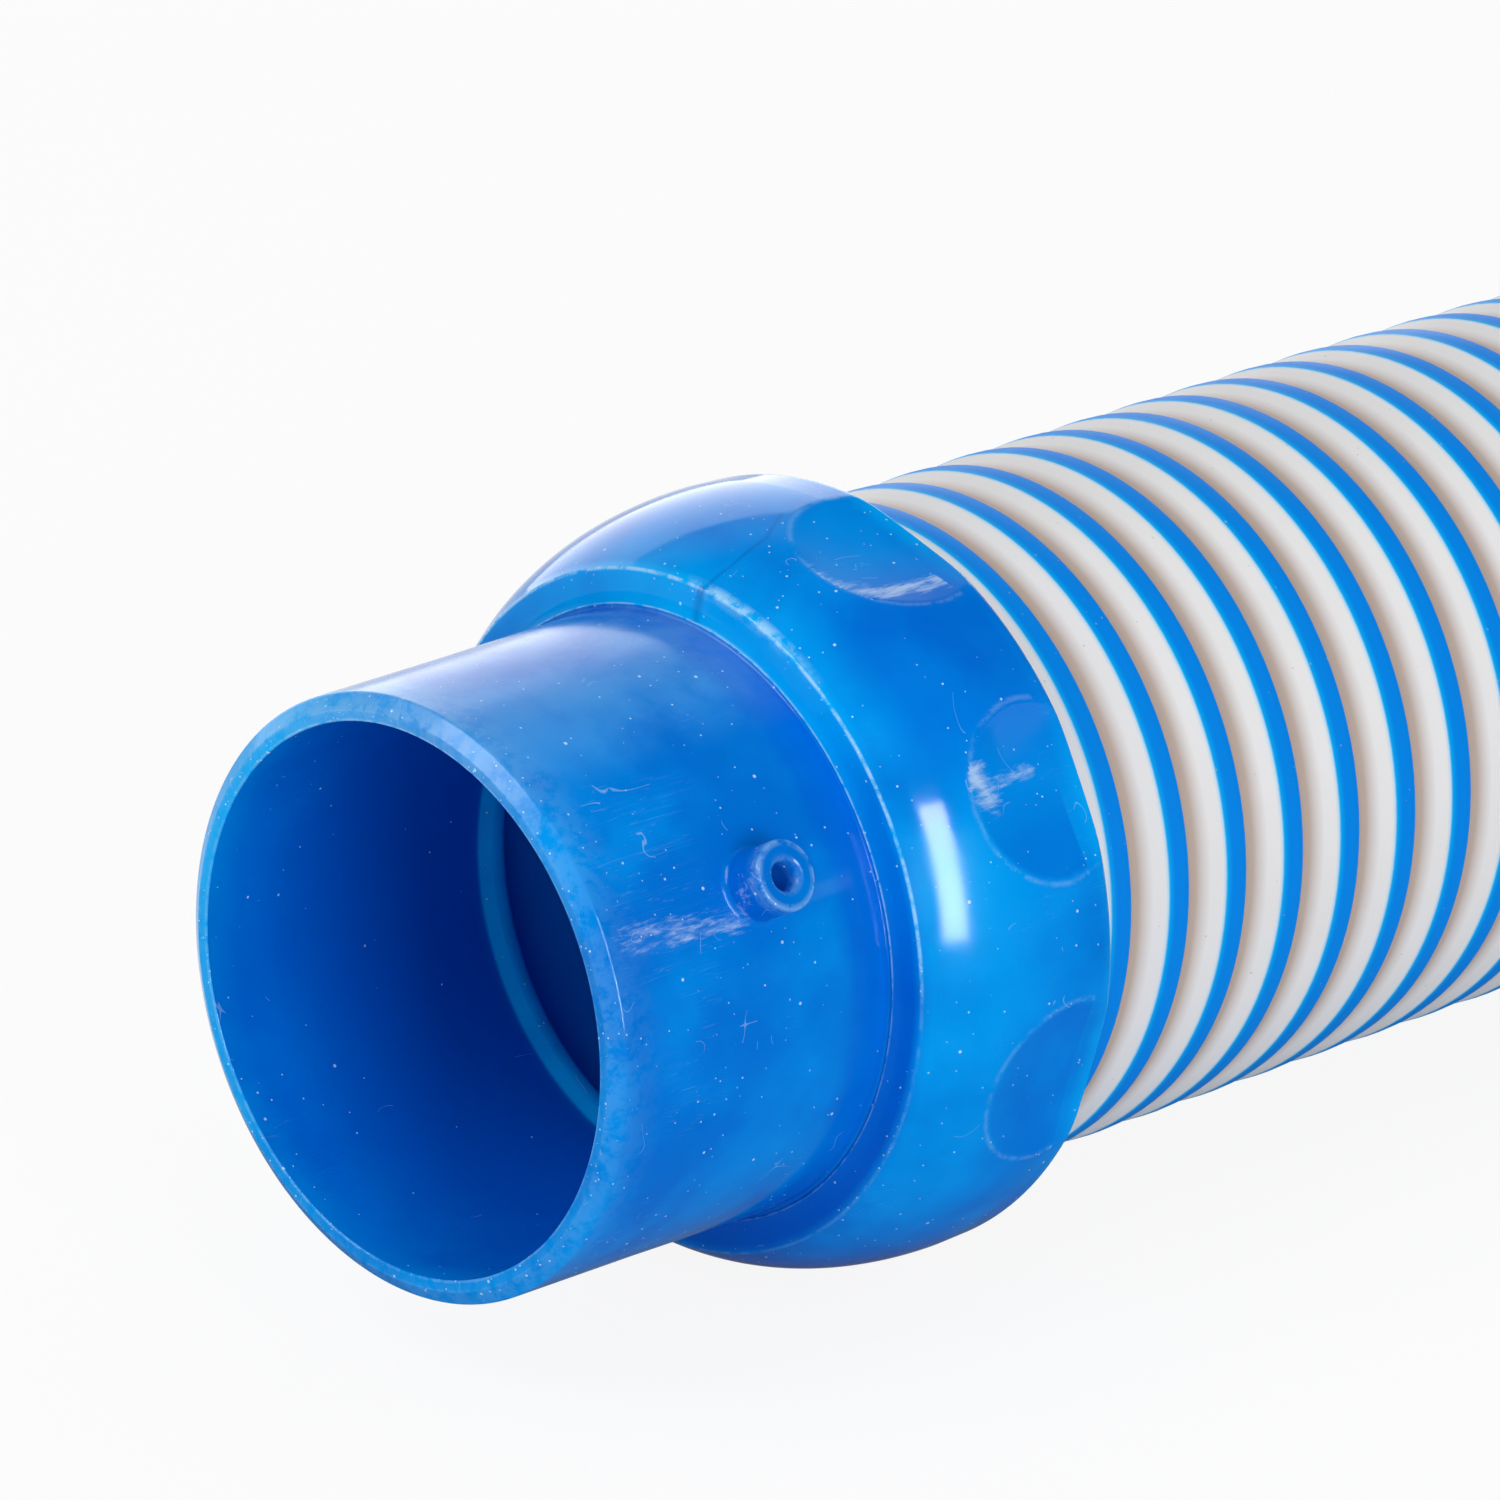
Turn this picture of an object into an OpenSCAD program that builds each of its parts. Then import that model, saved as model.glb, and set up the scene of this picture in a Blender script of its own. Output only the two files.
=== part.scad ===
// One section of twist-lock suction hose for a pool cleaner: a spiral-wound ribbed hose with a
// moulded cuff at each end. The male cuff's spigot carries two lugs, which turn and lock in the
// L-shaped slots of the next section's female cuff.
// The hose lies along X on the plane Z = 0 with its middle at X = 0: male cuff at -X, female at +X.
// Angles round the hose are turned from the top towards -Y.

/* [Hose] */
// Length of the whole section, from mouth to mouth
overall_length = 1000; // [600:10:1040]
// Outside diameter over the hose's ribs
hose_outer_d = 43; // [40:0.5:46]
// Diameter of the bore that the water runs through
hose_bore_d = 38; // [32:0.5:38]
// Distance from one turn of the rib to the next
rib_pitch = 5.08; // [5:0.01:8]
// Depth of the spiral groove between two turns of the rib
groove_depth = 1.2; // [0.4:0.1:1.4]
// Length over which the hose comes down from its cuffs to the ground
settle_length = 150; // [100:10:160]

/* [Spigot of the male cuff] */
// Outside diameter of the spigot
spigot_outer_d = 38.2; // [36:0.1:40]
// Wall of the spigot at its mouth
spigot_wall = 1.7; // [1.2:0.1:2.2]
// Length of the spigot, from its mouth to the collar's front face
spigot_length = 22.5; // [20:0.5:30]
// Length of the bevelled lead-in at the spigot's mouth
lead_in = 0.6; // [0.3:0.1:1]
// Width of the flat face left at the spigot's mouth, inside the bevel
lip_width = 0.7; // [0.4:0.1:1]
// How much thicker the spigot grows, on its radius, from the lugs to its root
spigot_draft = 0.12; // [0.05:0.01:0.2]
// How far the ring that stops the end of the hose stands in from the spigot's bore
throat_step = 1; // [0.6:0.1:2]

/* [Bayonet] */
// Diameter of each lug
lug_d = 4.5; // [4:0.1:6]
// Height of each lug above the spigot
lug_height = 3.1; // [2.6:0.1:4]
// Distance from the spigot's mouth to the lugs' centres
lug_from_mouth = 13.2; // [12:0.1:15]
// Diameter of the blind hole in each lug
lug_hole_d = 1.8; // [1:0.1:2.2]
// Depth of the blind hole in each lug
lug_hole_depth = 3.4; // [2:0.1:3.6]
// Turn that locks a lug in its slot, in degrees
lock_turn = 24; // [18:1:28]
// Clearance between a lug and the sides of its slot
slot_gap = 0.25; // [0.1:0.05:0.5]
// Clearance on the radius between the spigot and the socket that it slides into
socket_gap = 0.15; // [0.06:0.01:0.3]

/* [Collars] */
// Length of a collar, from its front face to its rim
collar_length = 14.2; // [13:0.1:20]
// Least radial width of the collar's front face, which the next cuff's sleeve meets
seat_width = 2.6; // [2.4:0.1:3.2]
// Least height of the collar's front edge over the hose that the collar holds
front_cover = 0.1; // [0.1:0.1:0.6]
// Height of the collar's crown over its front edge
crown_rise = 3; // [2.7:0.1:4]
// Distance from the crown to the collar's rim
crown_from_rim = 3.2; // [2.6:0.1:5]
// Rounding of the rim's outer edge
rim_round = 1.1; // [0.4:0.1:1.2]
// Thickness of the wall inside the collar that the hose butts against
stop_wall = 2; // [1.5:0.1:3]
// Clearance on the radius between the hose and the collar round it
hose_gap = 0.1; // [0.05:0.05:0.3]

/* [Finger dimples] */
// Number of dimples on each half of a collar; none lies where the mould parts
dimples_a_side = 3; // [2:1:3]
// Angle from one dimple to the next on its half of the collar, in degrees
dimple_spread = 45; // [40:1:50]
// Diameter of each dimple
dimple_d = 11.6; // [9:0.1:13]
// Distance from a dimple's centre to the rim
dimple_from_rim = 3.8; // [3:0.1:6]
// Hollow of the dish below its own edge
dish_depth = 0.3; // [0.15:0.05:0.6]

/* [Hidden] */

cuff_blue = [0.0, 0.42, 0.83];
hose_white = [0.86, 0.86, 0.85];
boolean_slack = 1;
arc_steps = 18;
$fn = 96;

hose_r = hose_outer_d / 2;
hose_bore_r = hose_bore_d / 2;
spigot_r = spigot_outer_d / 2;
mouth_bore_r = spigot_r - spigot_wall;
throat_r = mouth_bore_r - throat_step;
root_r = spigot_r + spigot_draft;
hose_seat_r = hose_r + hose_gap;
seat_r = max(spigot_r + seat_width, hose_seat_r + front_cover);
crown_r = seat_r + crown_rise;

cuff_length = spigot_length + collar_length;
hose_stop_x = spigot_length + stop_wall;
crown_x = cuff_length - crown_from_rim;
hose_length = overall_length - 2 * hose_stop_x;

// One lug looks out to the -Y side and the other straight across; the slots lie level with the axis
lug_angle = 63.4;
slot_angle = 90;

front_fillet = 0.35;
seat_lean = 0.5;
small_edge = 0.25;
crown_stretch = 1.2;

// A point of a quarter turn of an arc, from start_angle to end_angle
function arc(centre, radius, start_angle, end_angle, steps = 6) = [
    for (i = [0:steps])
        let (turn = start_angle + (end_angle - start_angle) * i / steps)
        [centre[0] + radius * cos(turn), centre[1] + radius * sin(turn)]
];

// The barrel's outline from its front edge to its crown: a flattened ellipse, level at the crown
function barrel(front_x, front_r) =
    let (reach = crown_x - front_x,
         half_length = crown_stretch * reach,
         rise = (crown_r - front_r) / (1 - sqrt(1 - pow(1 / crown_stretch, 2))))
    [for (i = [0:arc_steps])
        let (x = front_x + reach * i / arc_steps)
        [x, crown_r - rise * (1 - sqrt(1 - pow((crown_x - x) / half_length, 2)))]];

// From the crown round the rim, in along the seat of the hose, and to the wall that stops it
function collar_back() = concat(
    arc([cuff_length - rim_round, crown_r - small_edge - rim_round], rim_round, 80, 0),
    [[cuff_length, hose_seat_r + small_edge],
     [cuff_length - small_edge, hose_seat_r],
     [hose_stop_x, hose_seat_r]]
);

// Turns an outline of [distance along the cuff, radius] about the cuff's axis, which becomes X
module turned(outline) {
    rotate([0, 90, 0])
        rotate_extrude()
            polygon([for (p = outline) [p[1], p[0]]]);
}

// Puts its children where the given angle round the hose looks out along their own +Z
module facing(angle) {
    rotate([angle, 0, 0])
        children();
}

// The dimples of both halves; middle_angle is where each half's middle dimple looks out
module dimples(middle_angle) {
    half_angle = asin(dimple_d / 2 / crown_r);
    dish_r = (pow(dimple_d / 2, 2) + pow(dish_depth, 2)) / (2 * dish_depth);
    floor_r = crown_r * cos(half_angle) - dish_depth;
    middle = (dimples_a_side - 1) / 2;
    for (half = [0, 180], i = [0:dimples_a_side - 1])
        facing(middle_angle + half + (i - middle) * dimple_spread)
            translate([cuff_length - dimple_from_rim, 0, floor_r + dish_r])
                sphere(r = dish_r, $fn = 180);
}

module lug() {
    root_depth = spigot_wall / 2;
    facing(lug_angle) {
        translate([lug_from_mouth, 0, spigot_r - root_depth])
            cylinder(h = root_depth + lug_height - small_edge, d = lug_d, $fn = 48);
        translate([lug_from_mouth, 0, spigot_r + lug_height - small_edge])
            cylinder(h = small_edge, d1 = lug_d, d2 = lug_d - 2 * small_edge, $fn = 48);
    }
}

module lug_hole() {
    sink = 0.4;
    facing(lug_angle) {
        translate([lug_from_mouth, 0, spigot_r + lug_height - lug_hole_depth])
            cylinder(h = lug_hole_depth + boolean_slack, d = lug_hole_d, $fn = 32);
        translate([lug_from_mouth, 0, spigot_r + lug_height - sink])
            cylinder(h = sink, d1 = lug_hole_d, d2 = lug_hole_d + 2 * sink, $fn = 32);
    }
}

// Spigot and collar in one moulding, with its mouth at X = 0
module male_cuff_body() {
    land_end = lug_from_mouth - lug_d / 2 - small_edge;
    bore_edge = 0.1;
    difference() {
        union() {
            turned(concat(
                [[bore_edge, mouth_bore_r], [0, mouth_bore_r + bore_edge],
                 [0, mouth_bore_r + lip_width], [lead_in, spigot_r], [land_end, spigot_r]],
                [[spigot_length - front_fillet, root_r]],
                arc([spigot_length - front_fillet, root_r + front_fillet], front_fillet, -60, 0, 3),
                [[spigot_length + seat_lean * 0.6, seat_r - small_edge]],
                barrel(spigot_length + seat_lean, seat_r),
                collar_back(),
                [[hose_stop_x, throat_r + stop_wall / 2],
                 [hose_stop_x - stop_wall / 2, throat_r],
                 [spigot_length - stop_wall / 2, throat_r + small_edge / 2],
                 [spigot_length - stop_wall / 2, throat_r + 2 * small_edge]]
            ));
            lug();
            rotate([180, 0, 0])
                lug();
        }
        lug_hole();
        rotate([180, 0, 0])
            lug_hole();
        dimples(lug_angle);
    }
}

// One L-shaped slot: in from the mouth, then round, with a pocket at its end that the lug drops into.
// The leg that runs round starts inside the straight one and ends inside the pocket.
module slot() {
    slot_w = lug_d + 2 * slot_gap;
    leg_x = spigot_length - lug_from_mouth;
    pocket_step = 0.4;
    leg_overlap = 2;
    leg_short = 1;
    inside_r = spigot_r - boolean_slack;
    outside_r = seat_r + boolean_slack;
    facing(slot_angle)
        translate([-boolean_slack, -slot_w / 2, inside_r])
            cube([boolean_slack + leg_x + slot_w / 2, slot_w, outside_r - inside_r]);
    facing(slot_angle - lock_turn)
        translate([leg_x - pocket_step, 0, inside_r])
            cylinder(h = outside_r - inside_r, d = slot_w, $fn = 48);
    rotate([slot_angle, 0, 0])
        rotate([0, 90, 0])
            rotate_extrude(start = 180 - lock_turn + leg_short, angle = lock_turn + leg_overlap - leg_short)
                translate([inside_r, leg_x - slot_w / 2])
                    square([outside_r - inside_r, slot_w]);
}

// Slotted sleeve and collar in one moulding, with its mouth at X = 0
module female_cuff_body() {
    socket_r = spigot_r + socket_gap;
    sleeve_r = seat_r - small_edge;
    socket_end = spigot_length + small_edge;
    difference() {
        turned(concat(
            [[lead_in, socket_r], [0, socket_r + lead_in * 0.6], [0, sleeve_r - lead_in],
             [lead_in * 0.3, sleeve_r - lead_in * 0.3], [lead_in, sleeve_r]],
            barrel(spigot_length - seat_lean, sleeve_r),
            collar_back(),
            [[hose_stop_x, throat_r + stop_wall / 2],
             [hose_stop_x - stop_wall / 2, throat_r],
             [socket_end, throat_r]],
            [[socket_end, socket_r]]
        ));
        slot();
        rotate([180, 0, 0])
            slot();
        dimples(slot_angle);
    }
}

// ---- The hose: one ribbed tube whose rib and groove run round it as a left-hand spiral ----
sides = 8;
rows_per_turn = 2;
row_step = rib_pitch / rows_per_turn;
column_step = rib_pitch / sides;
rib_phase = 0.32;
spiral_start = rib_phase * rib_pitch;
settle_from = cuff_length - hose_stop_x + hose_outer_d;
settle_steps = 8;
last_row = ceil(hose_length / row_step) + rows_per_turn + 1;

// Where a row of the spiral crosses a side of the tube, measured along the tube
function spiral_x(row, column) = row * row_step - column * column_step + spiral_start;
// The last row that lies before the tube's start, and the first that lies past its end
function first_row(column) = floor((column * column_step - spiral_start) / row_step);
function end_row(column) = ceil((hose_length + column * column_step - spiral_start) / row_step);
function rows_in(column) = end_row(column) - first_row(column) + 1;
function first_index(column) = column == 0 ? 0 : first_index(column - 1) + rows_in(column - 1);
function held_row(row, column) = min(max(row, first_row(column)), end_row(column));

// How far the hose has come down at a distance from its start: level, an easy slope, level again
function settled(x) =
    let (along = (min(x, hose_length - x) - settle_from) / settle_length,
         part = min(max(along, 0), 1))
    (crown_r - hose_r) * part * part * (3 - 2 * part);

module ribbed_hose() {
    starts = [for (column = [0:sides]) first_index(column)];
    outer_count = starts[sides];
    outer = [
        for (column = [0:sides - 1], row = [first_row(column):end_row(column)])
            let (is_end = row == first_row(column) || row == end_row(column),
                 is_rib = row % rows_per_turn == 0,
                 x = min(max(spiral_x(row, column), 0), hose_length),
                 r = is_end || is_rib ? hose_r : hose_r - groove_depth,
                 turn = 360 * column / sides)
            [x, -r * sin(turn), r * cos(turn) - settled(x)]
    ];
    slope_x = [for (i = [0:settle_steps]) settle_from + settle_length * i / settle_steps];
    bore_x = concat(
        [0],
        slope_x,
        [for (i = [settle_steps:-1:0]) hose_length - slope_x[i]],
        [hose_length]
    );
    last_ring = len(bore_x) - 1;
    inner = [
        for (x = bore_x, column = [0:sides - 1])
            let (turn = 360 * column / sides)
            [x, -hose_bore_r * sin(turn), hose_bore_r * cos(turn) - settled(x)]
    ];
    // Past the last side the spiral has gained one turn, so it joins the first side a turn on
    function outer_at(row, column) =
        let (c = column % sides,
             r = held_row(column == sides ? row - rows_per_turn : row, c))
        starts[c] + r - first_row(c);
    function inner_at(ring, column) = outer_count + ring * sides + column % sides;
    skin = [
        for (column = [0:sides - 1], row = [-1:last_row])
            let (a = outer_at(row, column),
                 b = outer_at(row + 1, column),
                 c = outer_at(row + 1, column + 1),
                 d = outer_at(row, column + 1))
            each [if (a != b) [a, b, c], if (c != d) [a, c, d]]
    ];
    bore = [
        for (column = [0:sides - 1], ring = [0:last_ring - 1])
            let (a = inner_at(ring, column), b = inner_at(ring + 1, column),
                 c = inner_at(ring + 1, column + 1), d = inner_at(ring, column + 1))
            each [[a, c, b], [a, d, c]]
    ];
    near_end = [
        for (column = [0:sides - 1])
            let (a = outer_at(-1, column), b = outer_at(-1, column + 1),
                 c = inner_at(0, column + 1), d = inner_at(0, column))
            each [[a, b, c], [a, c, d]]
    ];
    far_end = [
        for (column = [0:sides - 1])
            let (a = outer_at(last_row + 1, column), b = outer_at(last_row + 1, column + 1),
                 c = inner_at(last_ring, column + 1), d = inner_at(last_ring, column))
            each [[a, c, b], [a, d, c]]
    ];
    polyhedron(points = concat(outer, inner), faces = concat(skin, bore, near_end, far_end));
}

module male_cuff() {
    color(cuff_blue)
        translate([-overall_length / 2, 0, crown_r])
            male_cuff_body();
}

module hose() {
    color(hose_white)
        translate([-hose_length / 2, 0, crown_r])
            ribbed_hose();
}

module female_cuff() {
    color(cuff_blue)
        translate([overall_length / 2, 0, crown_r])
            mirror([1, 0, 0])
                female_cuff_body();
}

male_cuff();
hose();
female_cuff();
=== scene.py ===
import math

import bpy
import numpy as np
from mathutils import Euler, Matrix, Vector


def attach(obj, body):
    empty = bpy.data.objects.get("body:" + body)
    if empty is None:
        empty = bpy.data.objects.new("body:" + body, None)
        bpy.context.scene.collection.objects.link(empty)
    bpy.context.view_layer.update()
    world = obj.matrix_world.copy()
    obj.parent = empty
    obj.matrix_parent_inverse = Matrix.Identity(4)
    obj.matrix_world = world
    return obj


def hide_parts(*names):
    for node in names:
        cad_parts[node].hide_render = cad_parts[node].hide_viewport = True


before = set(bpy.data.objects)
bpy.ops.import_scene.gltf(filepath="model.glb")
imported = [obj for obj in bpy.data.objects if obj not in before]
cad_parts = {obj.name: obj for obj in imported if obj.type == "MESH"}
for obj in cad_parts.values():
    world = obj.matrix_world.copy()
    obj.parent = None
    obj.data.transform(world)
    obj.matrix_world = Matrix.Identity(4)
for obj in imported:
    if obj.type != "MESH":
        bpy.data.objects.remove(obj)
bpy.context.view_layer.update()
scene = bpy.context.scene


# ---- Camera ----
# A long lens stands close to the ground, on the side of the male cuff. It looks along the hose
# from in front of the open mouth.
camera_data = bpy.data.cameras.new("camera")
camera_data.sensor_width = 36.0
camera_data.lens = 336.22
camera_data.clip_start = 0.01
camera_data.clip_end = 50.0
camera = bpy.data.objects.new("camera", camera_data)
camera.location = (-1.03839, -0.58223, 0.31847)
camera.rotation_euler = Euler((math.radians(70.696), 0.0, math.radians(-44.285)))
scene.collection.objects.link(camera)
scene.camera = camera


# ---- The hose ----
# A tube of soft plastic wound from two strips as a left-hand spiral: a narrow blue rib that stands
# proud, and a wider white strip that is drawn in between its turns. Its ends are cemented into the
# two cuffs, and its own weight brings it down to the ground between them.
SECTION_LENGTH = 1.0
HOSE_RADIUS = 0.0215
HOSE_BORE_RADIUS = 0.0190
RIB_PITCH = 0.00508
RIB_PHASE = 0.36
STOP_DISTANCE = 0.0245
CUFF_LENGTH = 0.0367
AXIS_HEIGHT = 0.0247
SETTLE_LENGTH = 0.150

hose_length = SECTION_LENGTH - 2 * STOP_DISTANCE
settle_from = CUFF_LENGTH - STOP_DISTANCE + 2 * HOSE_RADIUS


def settled(x):
    """How far the hose's middle line has come down at a distance along it."""
    along = (np.minimum(x, hose_length - x) - settle_from) / SETTLE_LENGTH
    part = np.clip(along, 0.0, 1.0)
    return (AXIS_HEIGHT - HOSE_RADIUS) * part * part * (3.0 - 2.0 * part)


def mesh_object(name, points, faces, smooth=True):
    """A mesh piece in the scene, from its points and its faces."""
    mesh = bpy.data.meshes.new(name)
    mesh.from_pydata([tuple(p) for p in points], [], [tuple(f) for f in faces])
    mesh.validate()
    if smooth:
        mesh.shade_smooth()
    piece = bpy.data.objects.new(name, mesh)
    scene.collection.objects.link(piece)
    return piece


# One turn of the wall, as (share of the pitch after the rib's far edge, depth below the crest)
GROOVE_SHARE = 0.66
GROOVE_DEPTH = 0.00055
GROOVE_STEPS = 12
GROOVE_EDGE_DEPTH = 0.00006
SHOULDER_SHARE = 0.035
SHOULDER_DEPTH = 0.00003
wall_outline = []
for step in range(GROOVE_STEPS + 1):
    part = step / GROOVE_STEPS
    sink = math.sin(math.pi * part**0.7) ** 1.2 if 0 < part < 1 else 0.0
    wall_outline.append((GROOVE_SHARE * part, GROOVE_EDGE_DEPTH + (GROOVE_DEPTH - GROOVE_EDGE_DEPTH) * sink))
rib_middle = (1 + GROOVE_SHARE) / 2
wall_outline += [
    (GROOVE_SHARE + SHOULDER_SHARE, SHOULDER_DEPTH),
    (rib_middle, 0.0),
    (1 - SHOULDER_SHARE, SHOULDER_DEPTH),
]

# The bore shows the blue strip's plastic all over, darker than the white, as a painted shade inside the hose:
# a place in the middle of the rib, as (turn, side)
BORE_UV = (0.85, 0.5)
HOSE_COLUMNS = 120
rows_per_turn = len(wall_outline)
outline_share = np.array([p[0] for p in wall_outline])
outline_depth = np.array([p[1] for p in wall_outline])


def hose_mesh():
    """The spiral wall, its plain bore and the two end faces, as points, faces and (turn, side)."""
    first_turn = -2
    turns = int(hose_length / RIB_PITCH) + 5
    row_turn = (np.arange(first_turn, first_turn + turns)[:, None] + outline_share[None, :]).ravel()
    row_depth = np.tile(outline_depth, turns)
    rows = len(row_turn)
    # The rib's middle lies at RIB_PHASE on top of the hose, so its far edge is half a rib on
    start = (RIB_PHASE + 1 - rib_middle) * RIB_PITCH
    points, index = [], np.full((HOSE_COLUMNS, rows), -1)
    for column in range(HOSE_COLUMNS):
        turn = 2 * math.pi * column / HOSE_COLUMNS
        x = row_turn * RIB_PITCH - column / HOSE_COLUMNS * RIB_PITCH + start
        first = int(np.searchsorted(x, 0.0, side="right")) - 1
        last = int(np.searchsorted(x, hose_length, side="left"))
        held = np.arange(first, last + 1)
        xs = np.clip(x[held], 0.0, hose_length)
        radius = HOSE_RADIUS - row_depth[held]
        radius[0] = radius[-1] = HOSE_RADIUS
        base = len(points)
        drop = settled(xs)
        points.extend(
            zip(
                xs - hose_length / 2,
                -radius * math.sin(turn),
                radius * math.cos(turn) + AXIS_HEIGHT - drop,
            )
        )
        index[column] = base + np.clip(np.arange(rows) - first, 0, last - first)
    faces, face_uvs = [], []
    for column in range(HOSE_COLUMNS):
        here = index[column]
        if column + 1 < HOSE_COLUMNS:
            beside = index[column + 1]
        else:
            # Past the last side the spiral has gained a turn
            beside = np.concatenate([np.full(rows_per_turn, index[0][0]), index[0][:-rows_per_turn]])
        near, far = column / HOSE_COLUMNS, (column + 1) / HOSE_COLUMNS
        for row in range(rows - 1):
            a, b, c, d = here[row], here[row + 1], beside[row + 1], beside[row]
            if a == b and c == d:
                continue
            t0, t1 = row_turn[row], row_turn[row + 1]
            corners = [(a, (t0, near)), (b, (t1, near)), (c, (t1, far)), (d, (t0, far))]
            if a == b:
                corners = [corners[0], corners[2], corners[3]]
            elif c == d:
                corners = [corners[0], corners[1], corners[2]]
            faces.append([corner[0] for corner in corners])
            face_uvs.extend(corner[1] for corner in corners)
    slope = settle_from + SETTLE_LENGTH * np.linspace(0, 1, 13)
    bore_x = np.concatenate([[0.0], slope, hose_length - slope[::-1], [hose_length]])
    bore_start = len(points)
    for x in bore_x:
        drop = float(settled(x))
        for column in range(HOSE_COLUMNS):
            turn = 2 * math.pi * column / HOSE_COLUMNS
            points.append(
                (
                    x - hose_length / 2,
                    -HOSE_BORE_RADIUS * math.sin(turn),
                    HOSE_BORE_RADIUS * math.cos(turn) + AXIS_HEIGHT - drop,
                )
            )
    rings = len(bore_x)
    for column in range(HOSE_COLUMNS):
        beside = (column + 1) % HOSE_COLUMNS
        for ring in range(rings - 1):
            a = bore_start + ring * HOSE_COLUMNS
            b = a + HOSE_COLUMNS
            faces.append([a + column, a + beside, b + beside, b + column])
            face_uvs.extend([BORE_UV] * 4)
        last_ring = bore_start + (rings - 1) * HOSE_COLUMNS
        faces.append([index[column][0], index[beside][0], bore_start + beside, bore_start + column])
        faces.append([index[beside][-1], index[column][-1], last_ring + column, last_ring + beside])
        face_uvs.extend([BORE_UV] * 8)
    return points, faces, face_uvs


points, faces, face_uvs = hose_mesh()
hose = mesh_object("ribbed_hose", points, faces)
winding = hose.data.uv_layers.new(name="winding")
winding.data.foreach_set("uv", np.array(face_uvs, dtype=np.float32).ravel())
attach(hose, "root")
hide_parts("hose")


def shader(material):
    """A material's node tree, its links and its Principled shader."""
    material.use_nodes = True
    tree = material.node_tree
    return tree, tree.links, tree.nodes["Principled BSDF"]


def group_tree(name, inputs, outputs):
    """A new shader node group with its sockets, its input node and its output node."""
    tree = bpy.data.node_groups.new(name, "ShaderNodeTree")
    for label, kind, value in inputs:
        socket = tree.interface.new_socket(label, in_out="INPUT", socket_type=kind)
        if value is not None:
            socket.default_value = value
    for label, kind in outputs:
        tree.interface.new_socket(label, in_out="OUTPUT", socket_type=kind)
    return tree, tree.nodes.new("NodeGroupInput"), tree.nodes.new("NodeGroupOutput")


def calc(tree, operation, first, second=None, third=None, clamp=False):
    """A Math node; each operand is a number or a socket."""
    node = tree.nodes.new("ShaderNodeMath")
    node.operation = operation
    node.use_clamp = clamp
    for slot_number, operand in enumerate((first, second, third)):
        if operand is None:
            continue
        if isinstance(operand, (int, float)):
            node.inputs[slot_number].default_value = operand
        else:
            tree.links.new(operand, node.inputs[slot_number])
    return node.outputs[0]


def blend_colour(tree, amount, first, second):
    """A colour mix; each colour is a tuple or a socket."""
    node = tree.nodes.new("ShaderNodeMix")
    node.data_type = "RGBA"
    tree.links.new(amount, node.inputs[0])
    for slot_number, operand in ((6, first), (7, second)):
        if isinstance(operand, tuple):
            node.inputs[slot_number].default_value = operand
        else:
            tree.links.new(operand, node.inputs[slot_number])
    return node.outputs[2]


def ramp(tree, value, stops, ease="LINEAR"):
    """A colour ramp through (place, colour) stops."""
    node = tree.nodes.new("ShaderNodeValToRGB")
    node.color_ramp.interpolation = ease
    while len(node.color_ramp.elements) < len(stops):
        node.color_ramp.elements.new(0.5)
    for element, (place, colour) in zip(node.color_ramp.elements, stops):
        element.position = place
        element.color = colour
    tree.links.new(value, node.inputs[0])
    return node.outputs[0]


def span(tree, value, low, high, start=0.0, end=1.0):
    """A value between low and high, stretched smoothly to run from start to end."""
    node = tree.nodes.new("ShaderNodeMapRange")
    node.interpolation_type = "SMOOTHSTEP"
    tree.links.new(value, node.inputs[0])
    for slot_number, number in enumerate((low, high, start, end), 1):
        node.inputs[slot_number].default_value = number
    return node.outputs[0]


def noise(tree, place, scale, detail=2.0, roughness=0.5):
    """A cloudy pattern between 0 and 1, with so many clouds to the unit of its place."""
    node = tree.nodes.new("ShaderNodeTexNoise")
    tree.links.new(place, node.inputs["Vector"])
    node.inputs["Scale"].default_value = scale
    node.inputs["Detail"].default_value = detail
    node.inputs["Roughness"].default_value = roughness
    return node.outputs[0]


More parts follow.
